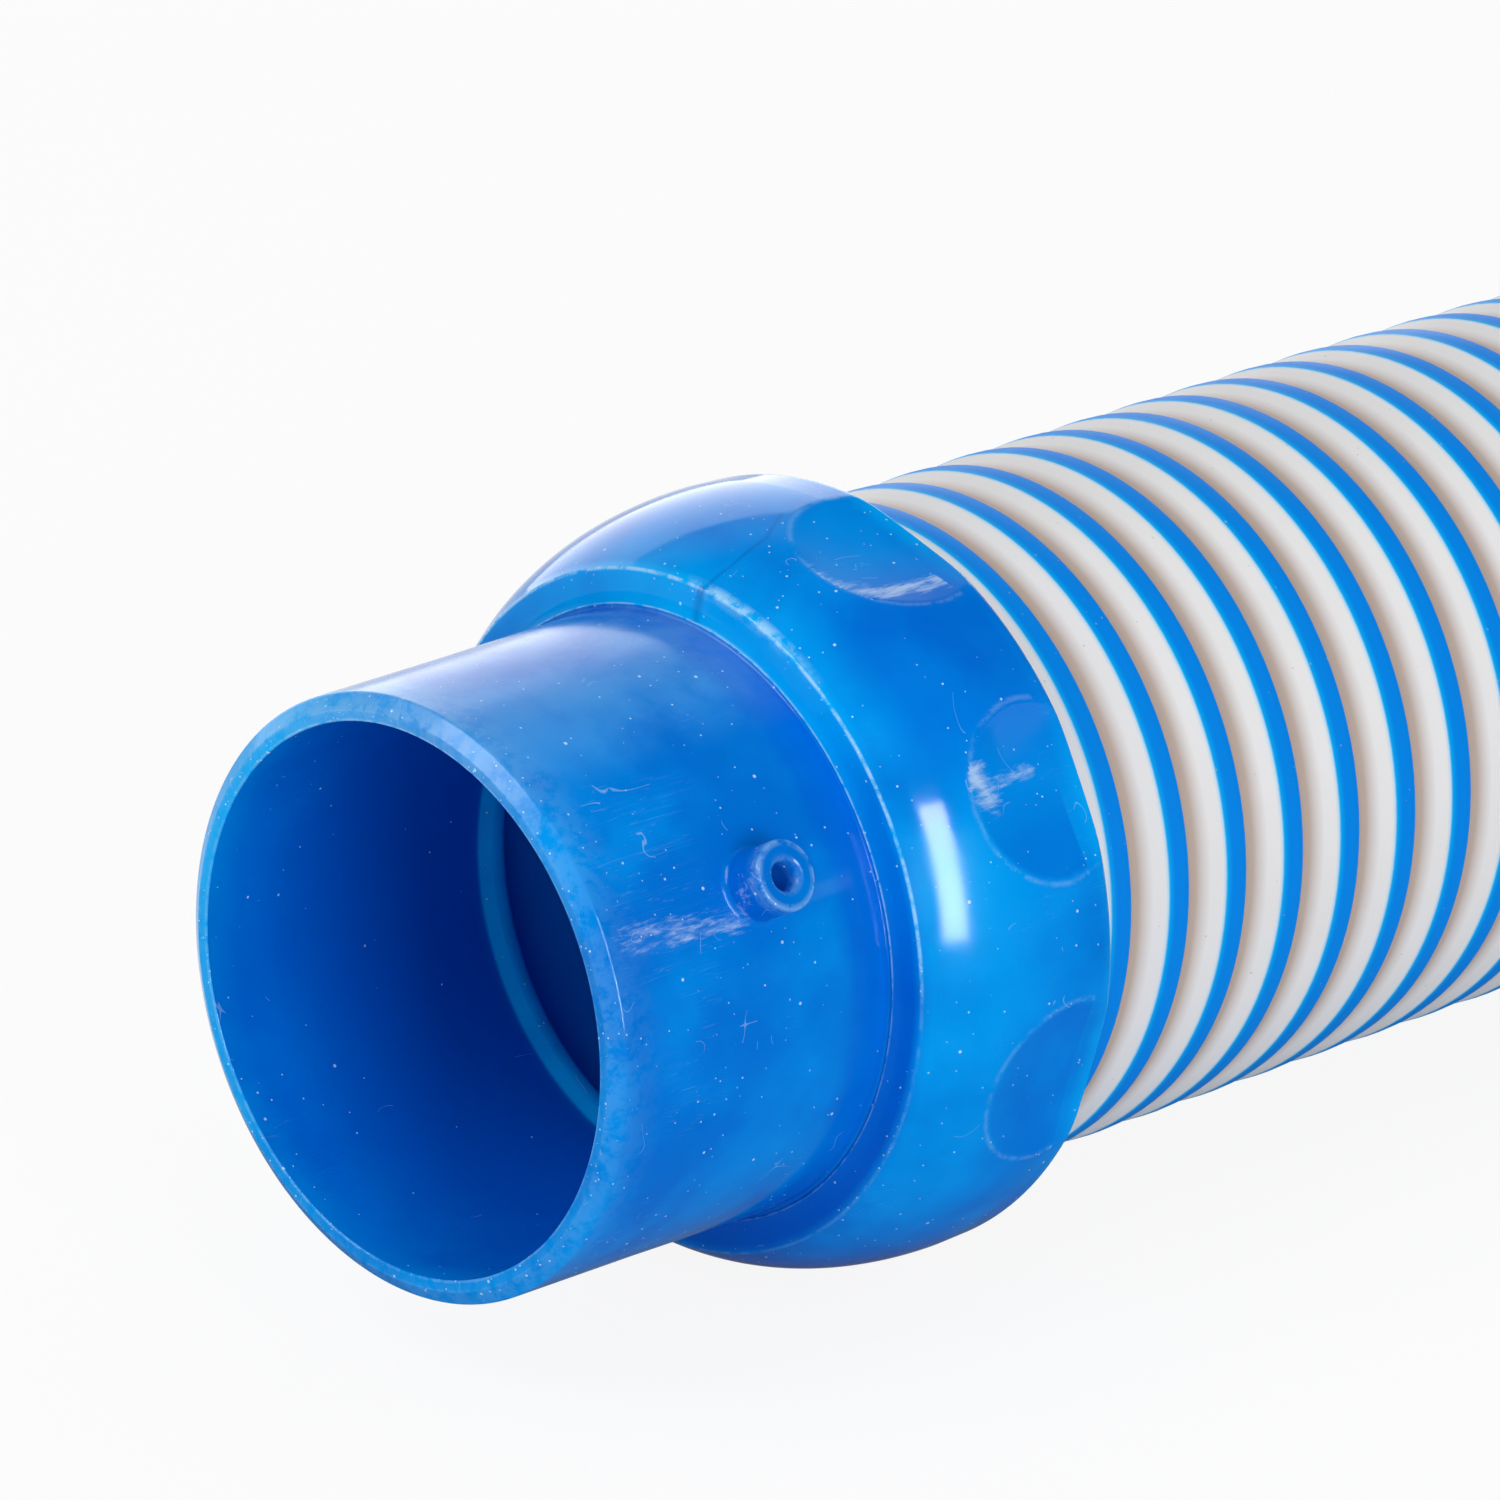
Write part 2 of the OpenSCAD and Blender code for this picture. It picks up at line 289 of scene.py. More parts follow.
def dust_group():
    """Dust and grit: round specks of two sizes, and short curled fibres. Amount is how much."""
    tree, given, result = group_tree(
        "dust_and_fibres",
        [("Place", "NodeSocketVector", None), ("Amount", "NodeSocketFloat", 0.3)],
        [("Specks", "NodeSocketFloat"), ("Fibres", "NodeSocketFloat")],
    )
    place, amount = given.outputs[:2]
    specks = None
    for cells, reach in ((1200.0, 0.12), (2600.0, 0.16)):
        cell = tree.nodes.new("ShaderNodeTexVoronoi")
        cell.inputs["Scale"].default_value = cells
        tree.links.new(place, cell.inputs["Vector"])
        split = tree.nodes.new("ShaderNodeSeparateColor")
        tree.links.new(cell.outputs["Color"], split.inputs[0])
        # A cell holds a speck where its own random number falls under the amount
        chance = calc(tree, "SUBTRACT", amount, split.outputs[0])
        kept = calc(tree, "GREATER_THAN", chance, 0.0)
        size = calc(tree, "MULTIPLY_ADD", split.outputs[1], reach, 0.05)
        near = calc(tree, "SUBTRACT", size, cell.outputs["Distance"])
        speck = calc(tree, "MULTIPLY", calc(tree, "MULTIPLY", near, 22.0, clamp=True), kept)
        specks = speck if specks is None else calc(tree, "MAXIMUM", specks, speck)
    fibres = None
    for cells, thickness in ((330.0, 0.005), (620.0, 0.008)):
        cloud = noise(tree, place, cells, 0.0)
        level = calc(tree, "ABSOLUTE", calc(tree, "SUBTRACT", cloud, 0.5))
        thread = calc(tree, "MULTIPLY", calc(tree, "SUBTRACT", thickness, level), 260.0, clamp=True)
        cell = tree.nodes.new("ShaderNodeTexVoronoi")
        cell.inputs["Scale"].default_value = cells * 1.15
        tree.links.new(place, cell.inputs["Vector"])
        split = tree.nodes.new("ShaderNodeSeparateColor")
        tree.links.new(cell.outputs["Color"], split.inputs[0])
        kept = calc(tree, "LESS_THAN", split.outputs[2], calc(tree, "MULTIPLY", amount, 0.22))
        thread = calc(tree, "MULTIPLY", thread, kept)
        fibres = thread if fibres is None else calc(tree, "MAXIMUM", fibres, thread)
    tree.links.new(specks, result.inputs[0])
    tree.links.new(fibres, result.inputs[1])
    return tree


def use_group(tree, group, place, amount):
    """Puts a wear group in a material; amount is a number or a socket."""
    node = tree.nodes.new("ShaderNodeGroup")
    node.node_tree = group
    tree.links.new(place, node.inputs[0])
    if isinstance(amount, (int, float)):
        node.inputs[1].default_value = amount
    else:
        tree.links.new(amount, node.inputs[1])
    return node.outputs


dust = dust_group()
hose_material = bpy.data.materials.new("wound_hose_strips")
tree, links, plastic = shader(hose_material)
uv = tree.nodes.new("ShaderNodeUVMap")
uv.uv_map = "winding"
split = tree.nodes.new("ShaderNodeSeparateXYZ")
links.new(uv.outputs[0], split.inputs[0])
turn_place = calc(tree, "FRACT", split.outputs[0])
WHITE = (0.75, 0.75, 0.76, 1.0)
# The half-shaded and shaded whites and the blurred edge are painted shade, and the rib's bright edge a
# painted highlight
HALF_SHADED_WHITE = (0.62, 0.58, 0.57, 1.0)
SHADED_WHITE = (0.49, 0.395, 0.345, 1.0)
BLURRED_SHADE_EDGE = (0.22, 0.34, 0.58, 1.0)
HALO = (0.46, 0.68, 0.84, 1.0)
LIT_RIB_EDGE = (0.0, 0.37, 0.83, 1.0)
RIB_BLUE = (0.0, 0.225, 0.77, 1.0)
AGED_WHITE = (0.50, 0.46, 0.42, 1.0)
GRIT_COLOUR = (0.42, 0.40, 0.38, 1.0)
# Across each turn: painted shade on the white beside the rib's far edge, then the white, a pale halo of thin
# blue over white, and a painted highlight on the rib's near edge
strips_and_painted_light = ramp(
    tree,
    turn_place,
    [
        (0.0, RIB_BLUE),
        (0.012, BLURRED_SHADE_EDGE),
        (0.035, SHADED_WHITE),
        (0.22, SHADED_WHITE),
        (0.33, HALF_SHADED_WHITE),
        (0.45, WHITE),
        (0.61, WHITE),
        (0.65, HALO),
        (0.675, LIT_RIB_EDGE),
        (0.76, RIB_BLUE),
    ],
)
solid_place = tree.nodes.new("ShaderNodeTexCoord").outputs["Object"]
clouds = noise(tree, solid_place, 55.0, 3.0)
on_white = calc(tree, "LESS_THAN", turn_place, 0.6)
ageing = calc(tree, "MULTIPLY", on_white, span(tree, clouds, 0.35, 0.75, 0.0, 0.10))
colour = blend_colour(tree, ageing, strips_and_painted_light, AGED_WHITE)
specks = use_group(tree, dust, solid_place, 0.05)[0]
colour = blend_colour(tree, calc(tree, "MULTIPLY", specks, 0.5), colour, GRIT_COLOUR)
links.new(colour, plastic.inputs["Base Color"])
links.new(span(tree, clouds, 0.3, 0.7, 0.38, 0.5), plastic.inputs["Roughness"])
plastic.inputs["IOR"].default_value = 1.5
plastic.inputs["Specular IOR Level"].default_value = 0.02
hose.data.materials.append(hose_material)


# ---- Male cuff ----
# One injection moulding in glossy blue plastic: a spigot with a bevelled lip, two lugs and a barrel
# collar with finger dimples round its rim. The hose is cemented into the collar's back.
SPIGOT_RADIUS = 0.0191
SPIGOT_WALL = 0.0017
SPIGOT_LENGTH = 0.0225
SPIGOT_DRAFT = 0.00012
LIP_RADIUS = 0.01814
LEAD_IN = 0.00065
THROAT_RADIUS = 0.0163
SEAT_RADIUS = 0.0217
CROWN_RADIUS = 0.0247
CROWN_X = 0.0336
CROWN_STRETCH = 1.25
HOSE_SEAT_RADIUS = 0.0216
RIM_ROUND = 0.0010
RIM_DROP = 0.00008
RIM_FACE_RADIUS = 0.0220
LUG_ANGLE = math.radians(63.4)
LUG_X = 0.0132
LUG_RADIUS = 0.00225
LUG_HEIGHT = 0.0031
DIMPLE_RADIUS = 0.0058
DIMPLE_X = CUFF_LENGTH - 0.0038
DISH_DEPTH = 0.0003
DIMPLE_SPREAD = math.radians(45)
COARSE = 256
FINE = 1024

mouth_bore_radius = SPIGOT_RADIUS - SPIGOT_WALL
root_radius = SPIGOT_RADIUS + SPIGOT_DRAFT
land_end = LUG_X - LUG_RADIUS - 0.00025


def spigot_radius(x):
    """The spigot's outside radius, with the draft behind its straight land."""
    return SPIGOT_RADIUS + SPIGOT_DRAFT * max(0.0, x - land_end) / (SPIGOT_LENGTH - land_end)


def line(start, end, steps):
    """Points along a straight line, both ends included."""
    return [tuple(p) for p in np.linspace(start, end, steps + 1)]


def rounded(corners, steps=6):
    """An outline through (x, radius, bend) corners, each corner rounded by its bend. A point close
    to each bend holds the straight part flat."""
    outline = []
    for number, (x, radius, bend) in enumerate(corners):
        here = np.array((x, radius))
        if bend == 0:
            outline.append((x, radius))
            continue
        before = np.array(corners[number - 1][:2]) - here
        after = np.array(corners[number + 1][:2]) - here
        before /= np.linalg.norm(before)
        after /= np.linalg.norm(after)
        half = math.acos(float(before @ after)) / 2
        reach = bend / math.tan(half)
        middle = (before + after) / np.linalg.norm(before + after)
        centre = here + middle * bend / math.sin(half)
        outline.append(tuple(here + before * (reach + 0.2 * bend)))
        for part in np.linspace(0.0, 1.0, steps + 1):
            spoke = (here + before * reach - centre) * (1 - part) + (here + after * reach - centre) * part
            outline.append(tuple(centre + spoke / np.linalg.norm(spoke) * bend))
        outline.append(tuple(here + after * (reach + 0.2 * bend)))
    return outline


def collar_outline(front_x, front_radius):
    """From just behind the collar's front edge, over the crown and round the rim to its inside."""
    reach = CROWN_X - front_x
    rise = (CROWN_RADIUS - front_radius) / (1 - math.sqrt(1 - CROWN_STRETCH**-2))
    outline = []
    for x in np.linspace(front_x, CROWN_X, 72)[:-1]:
        back = (CROWN_X - x) / (CROWN_STRETCH * reach)
        outline.append((x, CROWN_RADIUS - rise * (1 - math.sqrt(1 - back * back))))
    edge_radius = CROWN_RADIUS - RIM_DROP
    bend_x = CUFF_LENGTH - 1.3 * RIM_ROUND
    outline += line((CROWN_X, CROWN_RADIUS), (bend_x, edge_radius + 0.00001), 12)
    rim_face = (CUFF_LENGTH, RIM_FACE_RADIUS)
    rim_corners = [(bend_x, edge_radius, 0), (CUFF_LENGTH, edge_radius, RIM_ROUND), (*rim_face, 0)]
    outline += rounded(rim_corners, 14)[2:-1]
    outline += line(outline[-1], rim_face, 8)[1:]
    return outline


def collar_inside():
    """From the rim's face in along the seat of the hose and round the stop wall's edge."""
    return rounded(
        [
            (CUFF_LENGTH, 0.02195, 0),
            (CUFF_LENGTH, HOSE_SEAT_RADIUS, 0.00025),
            (STOP_DISTANCE, HOSE_SEAT_RADIUS, 0),
            (STOP_DISTANCE, THROAT_RADIUS, 0.0008),
            (STOP_DISTANCE - 0.0011, THROAT_RADIUS, 0),
        ]
    )


def dished(x, angle, radius, middle_angle):
    """The radius after the three finger dimples of each half are cut, their edges softened."""
    off = (angle - middle_angle + math.pi / 2) % math.pi - math.pi / 2
    half_angle = math.asin(DIMPLE_RADIUS / CROWN_RADIUS)
    dish = (DIMPLE_RADIUS**2 + DISH_DEPTH**2) / (2 * DISH_DEPTH)
    centre = CROWN_RADIUS * math.cos(half_angle) - DISH_DEPTH + dish
    soft = 0.00012
    for dimple_angle in (-DIMPLE_SPREAD, 0.0, DIMPLE_SPREAD):
        inside = dish**2 - (x - DIMPLE_X) ** 2 - (centre * np.sin(off - dimple_angle)) ** 2
        floor = centre * np.cos(off - dimple_angle) - np.sqrt(np.maximum(inside, 0.0))
        floor = np.where(inside > 0, floor, 1.0)
        near = np.maximum(soft - np.abs(radius - floor), 0.0) / soft
        radius = np.minimum(radius, floor) - near * near * soft / 4
    return radius


def revolve(sections, middle_angle):
    """Turns a closed outline about the hose's axis. Each section is (outline, columns), and the
    dimples are cut where the columns are fine. Gives points in cuff coordinates and faces."""
    points, faces, rings = [], [], []
    for outline, columns in sections:
        angles = 2 * np.pi * np.arange(columns) / columns
        for x, radius in outline:
            radii = np.full(columns, radius)
            if columns == FINE:
                radii = dished(x, angles, radii, middle_angle)
            base = len(points)
            points.extend(zip(np.full(columns, x), -radii * np.sin(angles), radii * np.cos(angles)))
            rings.append((base, columns))
    for (a, na), (b, nb) in zip(rings, rings[1:] + rings[:1]):
        if na == nb:
            faces.extend((a + i, a + (i + 1) % na, b + (i + 1) % nb, b + i) for i in range(na))
        elif na < nb:
            ratio = nb // na
            for i in range(na):
                for k in range(ratio):
                    faces.append((a + i, b + (i * ratio + k + 1) % nb, b + i * ratio + k))
                faces.append((a + i, a + (i + 1) % na, b + (i + 1) * ratio % nb))
        else:
            ratio = na // nb
            for i in range(nb):
                for k in range(ratio):
                    faces.append((b + i, a + i * ratio + k, a + (i * ratio + k + 1) % na))
                faces.append((b + i, a + (i + 1) * ratio % na, b + (i + 1) % nb))
    return points, faces, rings


# The skin goes out of the bore, round the mouth's flat face and bevel, back along the spigot with a
# ring every half millimetre, out over the collar's front, crown and rim, and in again to the throat
land_x = np.linspace(0.0012, SPIGOT_LENGTH - 0.0006, 42)
spigot_rings = [(x, spigot_radius(x)) for x in land_x]
bore_outline = line((SPIGOT_LENGTH - 0.0004, mouth_bore_radius - 0.00045), (0.0006, mouth_bore_radius), 40)
lip_outline = rounded(
    [
        (0.0004, mouth_bore_radius, 0),
        (0.0, mouth_bore_radius, 0.0001),
        (0.0, mouth_bore_radius + 0.0002, 0),
        (0.0, LIP_RADIUS - 0.00016, 0),
        (0.0, LIP_RADIUS, 0.00006),
        (LEAD_IN, SPIGOT_RADIUS, 0.0003),
        (0.0011, SPIGOT_RADIUS, 0),
    ]
)
front_outline = rounded(
    [
        (SPIGOT_LENGTH - 0.0005, root_radius, 0),
        (SPIGOT_LENGTH, root_radius, 0.00012),
        (SPIGOT_LENGTH + 0.00001, root_radius + 0.00024, 0),
        (SPIGOT_LENGTH - 0.00007, root_radius + 0.00029, 0),
        (SPIGOT_LENGTH - 0.00007, root_radius + 0.00034, 0),
        (SPIGOT_LENGTH + 0.00002, root_radius + 0.00039, 0),
        (SPIGOT_LENGTH + 0.00008, 0.0205, 0),
        (SPIGOT_LENGTH + 0.00018, 0.0210, 0),
    ]
)
front_edge = rounded(
    [
        (SPIGOT_LENGTH + 0.00018, 0.0211, 0),
        (SPIGOT_LENGTH + 0.0003, SEAT_RADIUS + 0.00003, 0.0003),
        (SPIGOT_LENGTH + 0.0011, SEAT_RADIUS + 0.00047, 0),
    ]
)[:-1]
barrel = [p for p in collar_outline(SPIGOT_LENGTH + 0.0003, SEAT_RADIUS) if p[0] > SPIGOT_LENGTH + 0.0008]
throat_outline = rounded(
    [
        (STOP_DISTANCE - 0.0012, THROAT_RADIUS + 0.00002, 0),
        (STOP_DISTANCE - 0.0014, THROAT_RADIUS + 0.00008, 0.0002),
        (SPIGOT_LENGTH - 0.0001, mouth_bore_radius - 0.00052, 0.00015),
        (SPIGOT_LENGTH - 0.0003, mouth_bore_radius - 0.00046, 0),
    ]
)
sections = [
    (bore_outline + lip_outline, COARSE),
    (spigot_rings, COARSE),
    (front_outline, COARSE),
    (front_edge + barrel, FINE),
    (collar_inside() + throat_outline, COARSE),
]
points, faces, rings = revolve(sections, LUG_ANGLE)

# Each lug takes the place of a block of the spigot's faces, so the moulding stays one skin
LUG_EDGE = 0.00022
LUG_FILLET = 0.0004
LUG_BLOCK = 0.0042
HOLE_RADIUS = 0.0009
HOLE_DEPTH = 0.0034
HOLE_SINK = 0.0003


def point_at(ring, column):
    """The number of a point on the spigot, from its ring and its column."""
    return rings[ring][0] + column % COARSE


def on_spigot(u, v):
    """How high the spigot's surface stands over the axis, at a place beside a lug's middle."""
    r = spigot_radius(LUG_X + u)
    return math.sqrt(r * r - v * v)


face_at = {face: number for number, face in enumerate(faces)}
removed = set()
first_ring = len(bore_outline + lip_outline)
for lug_angle in (LUG_ANGLE, LUG_ANGLE + math.pi):
    column_0 = round((lug_angle - LUG_BLOCK / SPIGOT_RADIUS) / (2 * math.pi) * COARSE)
    column_1 = round((lug_angle + LUG_BLOCK / SPIGOT_RADIUS) / (2 * math.pi) * COARSE)
    ring_0 = first_ring + int(np.searchsorted(land_x, LUG_X - LUG_BLOCK))
    ring_1 = first_ring + int(np.searchsorted(land_x, LUG_X + LUG_BLOCK))
    for ring in range(ring_0, ring_1):
        for column in range(column_0, column_1):
            near_edge = (point_at(ring, column), point_at(ring, column + 1))
            far_edge = (point_at(ring + 1, column + 1), point_at(ring + 1, column))
            removed.add(face_at[near_edge + far_edge])
    border = [point_at(ring_0, column) for column in range(column_0, column_1)]
    border += [point_at(ring, column_1) for ring in range(ring_0, ring_1)]
    border += [point_at(ring_1, column) for column in range(column_1, column_0, -1)]
    border += [point_at(ring, column_0) for ring in range(ring_1, ring_0, -1)]
    out = np.array((0.0, -math.sin(lug_angle), math.cos(lug_angle)))
    across = np.array((0.0, -math.cos(lug_angle), -math.sin(lug_angle)))
    flat = []
    for corner in border:
        p = np.array(points[corner])
        flat.append((p[0] - LUG_X, float(p @ across)))
    turns = [math.atan2(v, u) for u, v in flat]
    top = SPIGOT_RADIUS + LUG_HEIGHT
    foot = LUG_RADIUS + LUG_FILLET
    lug_rings = []
    for part in (0.2, 0.4, 0.6, 0.8, 0.93):
        ring = []
        for (u, v), turn in zip(flat, turns):
            cu, cv = foot * math.cos(turn), foot * math.sin(turn)
            mu, mv = u + (cu - u) * part, v + (cv - v) * part
            ring.append((mu, mv, on_spigot(mu, mv)))
        lug_rings.append(ring)
    for step in range(9):
        bend = math.radians(90 * step / 8)
        rho = foot - LUG_FILLET * math.sin(bend)
        lift = LUG_FILLET * (1 - math.cos(bend))
        lug_rings.append(
            [
                (rho * math.cos(t), rho * math.sin(t), on_spigot(rho * math.cos(t), rho * math.sin(t)) + lift)
                for t in turns
            ]
        )
    base_ring = lug_rings[-1]
    for part in (0.3, 0.6, 0.9, 1.0):
        lug_rings.append([(u, v, w + (top - LUG_EDGE - w) * part) for u, v, w in base_ring])
    heights = []
    for step in range(1, 7):
        bend = math.radians(90 * step / 6)
        heights.append((LUG_RADIUS - LUG_EDGE * (1 - math.cos(bend)), top - LUG_EDGE * (1 - math.sin(bend))))
    sink_radius = HOLE_RADIUS + HOLE_SINK
    heights += [(LUG_RADIUS - 0.0005, top), (sink_radius + 0.00015, top), (sink_radius, top - 0.00002)]
    heights += [(HOLE_RADIUS + 0.00012, top - 0.00022), (HOLE_RADIUS, top - 0.0004)]
    heights += [(HOLE_RADIUS - 0.00003, top - 0.0012), (HOLE_RADIUS - 0.00006, top - HOLE_DEPTH + 0.0002)]
    heights += [(HOLE_RADIUS - 0.0002, top - HOLE_DEPTH), (0.0003, top - HOLE_DEPTH)]
    for rho, height in heights:
        lug_rings.append([(rho * math.cos(t), rho * math.sin(t), height) for t in turns])
    count = len(border)
    previous = border
    for ring in lug_rings:
        base = len(points)
        for u, v, w in ring:
            p = out * w + across * v
            points.append((LUG_X + u, p[1], p[2]))
        current = list(range(base, base + count))
        for i in range(count):
            j = (i + 1) % count
            faces.append((previous[i], previous[j], current[j], current[i]))
        previous = current
    faces.append(tuple(previous))
faces = [face for number, face in enumerate(faces) if number not in removed]

# The collar's own outline in mm, up to the rim's round, to tell how deep a place in a dimple lies
barrel_mm = [(x * 1000, radius * 1000) for x, radius in barrel if x < CUFF_LENGTH - 0.0016]


def fade(values, *stops):
    """Amounts that follow (place, amount) stops, straight from each to the next."""
    return np.interp(values, [stop[0] for stop in stops], [stop[1] for stop in stops])


def near_path(along, across, path, reach):
    """How close points lie to a path over the surface, from 1 on it to 0 at its reach, in mm."""
    best = np.full(len(along), 1e9)
    for (s0, a0), (s1, a1) in zip(path, path[1:]):
        ds, da = s1 - s0, a1 - a0
        part = np.clip(((along - s0) * ds + (across - a0) * da) / (ds * ds + da * da), 0, 1)
        best = np.minimum(best, np.hypot(along - s0 - part * ds, across - a0 - part * da))
    return np.clip(1 - best / reach, 0, 1)


# Scuffs, whose pale marks in the top and middle dimples and on the spigot near the mouth also stand in for
# painted highlights, as (distance from the mouth in mm, angle in degrees) paths with a reach and a strength
SCUFFS_AND_HIGHLIGHTS = [
    ([(26.9, 17.0), (27.9, 23.0), (30.0, 26.8), (35.0, 27.8)], 1.6, 0.85),
    ([(28.4, 58.0), (29.2, 61.0)], 1.7, 1.0),
    ([(29.0, 59.5), (33.0, 59.0)], 0.8, 0.7),
    ([(2.0, 65.0), (11.0, 69.0)], 1.6, 0.6),
]
# The faint line where the mould's halves met, in the same measures
WELD_LINE = [(22.6, 6.7), (25.0, 7.7), (27.8, 7.7), (30.4, 4.6)]
# Radii in mm that a scuff's or the line's angles are measured on
SPIGOT_SCUFF_RADIUS = 19.1
COLLAR_SCUFF_RADIUS = 24.2
WELD_RADIUS = 23.5
# Where the collar's front begins, outside the spigot's root
COLLAR_FROM = 19.45


def paint_masks(piece, name, *masks):
    """Writes three masks into a colour attribute of a piece, for its material to read."""
    colours = np.stack([*masks, np.ones(len(masks[0]))], axis=1).astype(np.float32)
    layer = piece.data.color_attributes.new(name, "FLOAT_COLOR", "POINT")
    layer.data.foreach_set("color", colours.ravel())


def cuff_marks_and_painted_light(piece, cuff_points, bore_radius, scuffs_and_highlights, weld_line):
    """Paints a cuff's masks: painted glow where the plastic is thin or lit, rubbed edges with painted
    highlights, and painted shade; then scuffs with painted highlights, the weld line, and a dust film with a
    painted sheen. Distances from the mouth and radii are in mm, and angles in degrees from the top."""
    p = np.array(cuff_points)
    along, radius = p[:, 0] * 1000, np.hypot(p[:, 1], p[:, 2]) * 1000
    around = np.degrees(np.arctan2(-p[:, 1], p[:, 2]))
    from_top = np.abs(around)
    from_bore = radius - bore_radius * 1000
    inside = (from_bore < 0.02) & (along > 0.12)
    upper = fade(from_top, (0.0, 1.0), (30.0, 0.85), (60.0, 0.3), (85.0, 0.0))

    # Painted light makes the plastic brighter, standing in for light through thin plastic and on lit faces:
    # the lip on its lit side, the collar's front towards the top and its side, its edges, and the throat's
    # ring; the seam and crest lines are painted highlights
    far_side = fade(around, (-160.0, 0.25), (-110.0, 1.0), (-30.0, 1.0), (10.0, 0.25))
    lip = fade(along, (0.0, 0.8), (0.55, 0.8), (0.75, 0.5), (1.8, 0.0)) * far_side
    front = fade(along, (22.1, 0.0), (22.45, 0.8), (22.9, 0.9), (23.3, 0.4), (26.5, 0.0))
    front = front * (radius > COLLAR_FROM) * upper
    side = fade(around, (50.0, 0.0), (72.0, 0.45), (115.0, 0.35), (160.0, 0.0))
    side = side * fade(along, (22.7, 0.0), (23.2, 1.0), (27.0, 1.0), (31.0, 0.2))
    seam = fade(radius, (COLLAR_FROM, 0.0), (19.5, 1.0), (19.56, 1.0), (19.6, 0.0))
    seam = seam * (along < 22.55) * (along > 20.0)
    near_crest = (along < 23.1) * (along > 22.4)
    crest = fade(radius, (21.56, 0.0), (21.62, 1.0), (21.74, 1.0), (21.80, 0.0)) * near_crest
    crest = crest * fade(from_top, (78.0, 1.0), (92.0, 0.15))
    broad = fade(radius, (21.50, 0.0), (21.62, 1.0), (21.86, 1.0), (21.98, 0.0)) * near_crest
    broad = broad * fade(around, (2.0, 0.0), (10.0, 1.0), (24.0, 1.0), (36.0, 0.0))
    crest = np.maximum(crest, broad)
    rim = fade(along, (35.2, 0.0), (36.2, 0.4), (36.7, 0.6))
    throat = fade(along, (22.2, 0.0), (22.4, 1.0), (23.8, 1.0), (24.3, 0.3))
    painted_glow = np.where(inside, throat, np.maximum.reduce([lip, front, side, seam, crest, rim]))

    # Pale and dull: real rubbing at the mouth, and painted highlights along the mouth's edges, brighter on
    # top, on the seam, the crest, the lugs' edges and the dimples' edges
    seam = seam * fade(from_top, (75.0, 0.8), (95.0, 0.3))
    edges = fade(from_bore, (0.03, 0.6), (0.1, 0.9), (0.2, 0.1), (0.55, 0.1), (0.7, 0.6), (0.8, 0.3))
    mouth = np.where(along < 0.15, edges, fade(along, (0.2, 0.3), (0.8, 0.2), (4.0, 0.0)))
    mouth = mouth * np.maximum(upper, 0.35)
    lug = np.zeros(len(p))
    for middle in (LUG_ANGLE, LUG_ANGLE + math.pi):
        turn = (np.radians(around) - middle + np.pi) % (2 * np.pi) - np.pi
        rho = np.hypot(along - LUG_X * 1000, turn * radius)
        on_top = (radius > 21.6) & (radius < 22.3) & (along > 10.0) & (along < 16.0) & (rho < 2.6)
        lug_edges = fade(rho, (0.9, 0.2), (1.1, 0.3), (1.25, 0.0), (1.9, 0.0), (2.1, 0.5), (2.3, 0.1))
        lug = np.maximum(lug, on_top * lug_edges)
    dip = np.where((along > 23.5) & (along < 34.9) & (radius > 23.0), fade(along, *barrel_mm) - radius, 0.0)
    dimple_edge = fade(dip, (0.0, 0.0), (0.012, 1.0), (0.03, 1.0), (0.06, 0.0))
    rubbed_and_highlit = np.where(inside, 0.0, np.maximum.reduce([mouth, seam, crest, lug, 0.22 * dimple_edge]))

    # Painted shade makes the plastic darker: the bore, the spigot's root, and the collar's face, dimples and
    # lands
    bore = fade(along, (0.1, 0.0), (2.5, 0.6), (12.0, 1.0), (22.0, 1.0), (22.4, 0.0))
    root = fade(along, (18.6, 0.0), (19.8, 0.55), (22.4, 0.7), (22.55, 0.0)) * (radius < COLLAR_FROM)
    face = fade(from_top, (40.0, 0.0), (70.0, 0.5), (100.0, 0.8))
    face = face * (radius > COLLAR_FROM) * (radius < 21.6) * (along < 22.75)
    land = fade(around, (18.0, 0.0), (32.0, 0.5), (50.0, 0.5), (66.0, 0.0))
    land = land * fade(along, (24.0, 0.0), (26.5, 1.0))
    dimple_floor = fade(dip, (0.03, 0.0), (0.15, 0.5))
    dimple_floor = dimple_floor * fade(around, (58.0, 0.0), (70.0, 1.0), (90.0, 1.0), (105.0, 0.5))
    painted_shade = np.where(inside, bore, np.maximum.reduce([root, face, land, dimple_floor]))
    paint_masks(piece, "cuff_marks_and_painted_light", painted_glow, rubbed_and_highlit, painted_shade)

    across = np.radians(around) * radius
    scuff_and_highlight, weld = np.zeros(len(p)), np.zeros(len(p))
    for path, reach, strength in scuffs_and_highlights:
        on_collar = path[0][0] > SPIGOT_LENGTH * 1000
        scuff_radius = COLLAR_SCUFF_RADIUS if on_collar else SPIGOT_SCUFF_RADIUS
        route = [(s, math.radians(a) * scuff_radius) for s, a in path]
        scuff_and_highlight = np.maximum(scuff_and_highlight, near_path(along, across, route, reach) * strength)
    scuff_and_highlight = np.where(inside | ((along > 22.6) & (dip < 0.012)), 0.0, scuff_and_highlight)
    if weld_line:
        route = [(s, math.radians(a) * WELD_RADIUS) for s, a in weld_line]
        weld = near_path(along, across, route, 0.18) * (radius > 19.6)
        on_front = (radius > 19.6) & (along < 22.95) & (along > 22.0)
        weld = np.maximum(weld, on_front * (np.abs(around - weld_line[0][1]) < 0.45) * 0.8)
